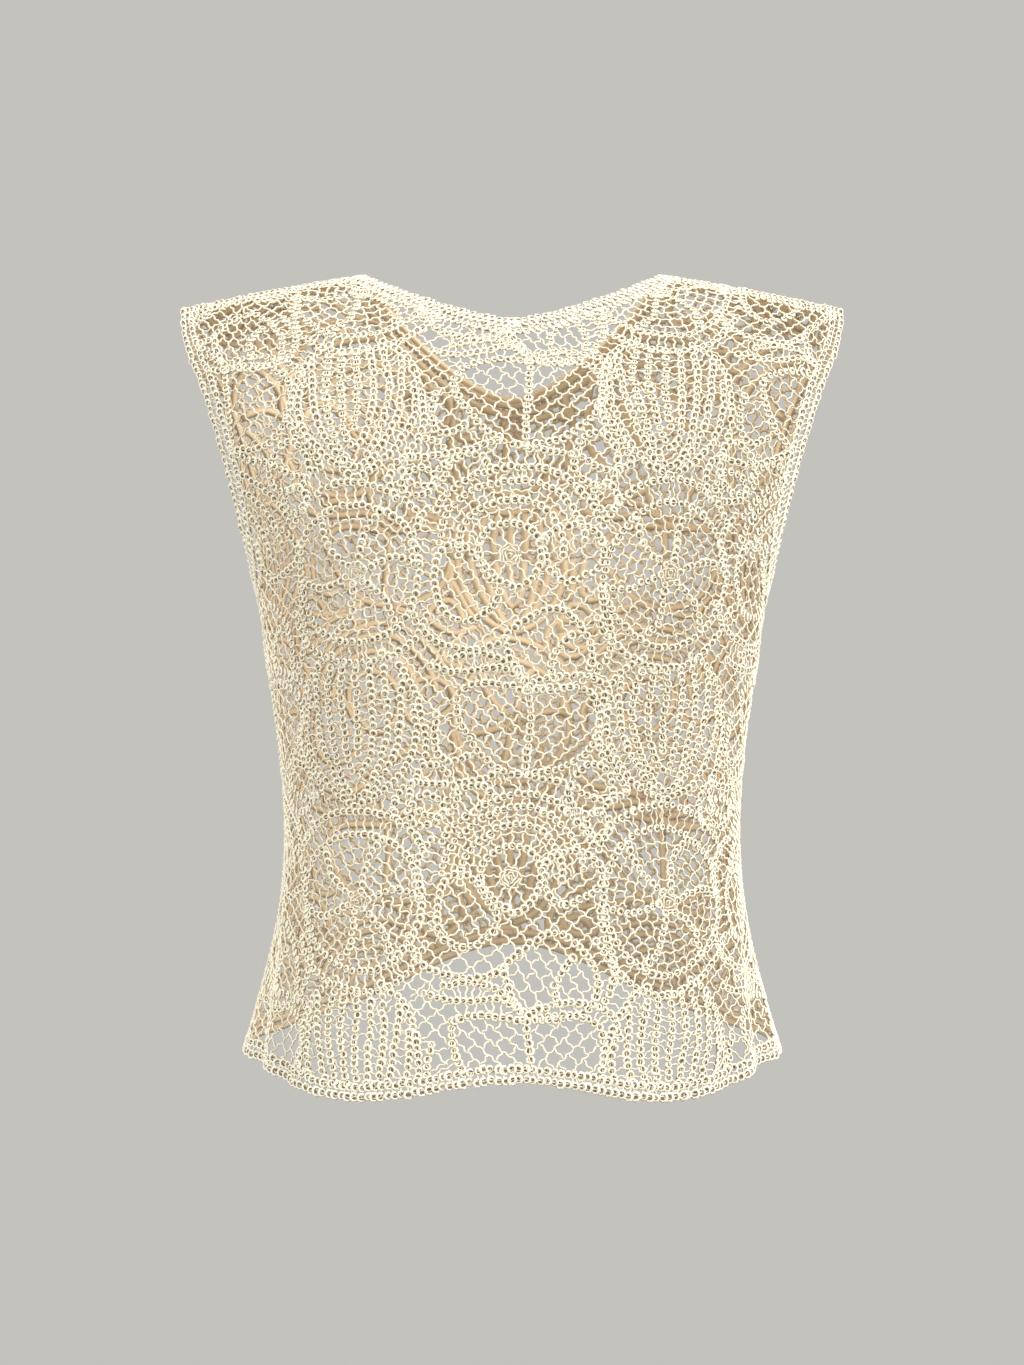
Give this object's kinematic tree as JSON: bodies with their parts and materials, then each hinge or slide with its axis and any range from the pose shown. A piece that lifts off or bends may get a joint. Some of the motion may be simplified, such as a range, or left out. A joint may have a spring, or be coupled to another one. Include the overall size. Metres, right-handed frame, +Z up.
{
  "type": "open crochet lace sweater vest",
  "caption": "Sleeveless pullover vest in open ivory crochet lace, filled out as worn, with corded edgings at neck, armholes and scalloped hem.",
  "frame": {"origin": "middle of the garment from side to side and front to back, at the height where the wearer's shoulders carry the shoulder seams", "axes": "+Z up, +X towards the wearer's right, +Y towards the front; the back with the shallow neck, which the picture shows, faces -Y"},
  "size_m": [0.4194, 0.2298, 0.5054],
  "materials": {
    "lace_yarn": "ivory mercerised cotton yarn, crocheted into cords and net",
    "edging_yarn": "ivory mercerised cotton yarn, crocheted into a corded edge"
  },
  "bodies": {
    "root": {"back_panel": "lace_yarn", "front_panel": "lace_yarn", "hem_edging": "edging_yarn", "neck_edging": "edging_yarn", "armhole_edging_left": "edging_yarn", "armhole_edging_right": "edging_yarn"}
  },
  "joints": []
}
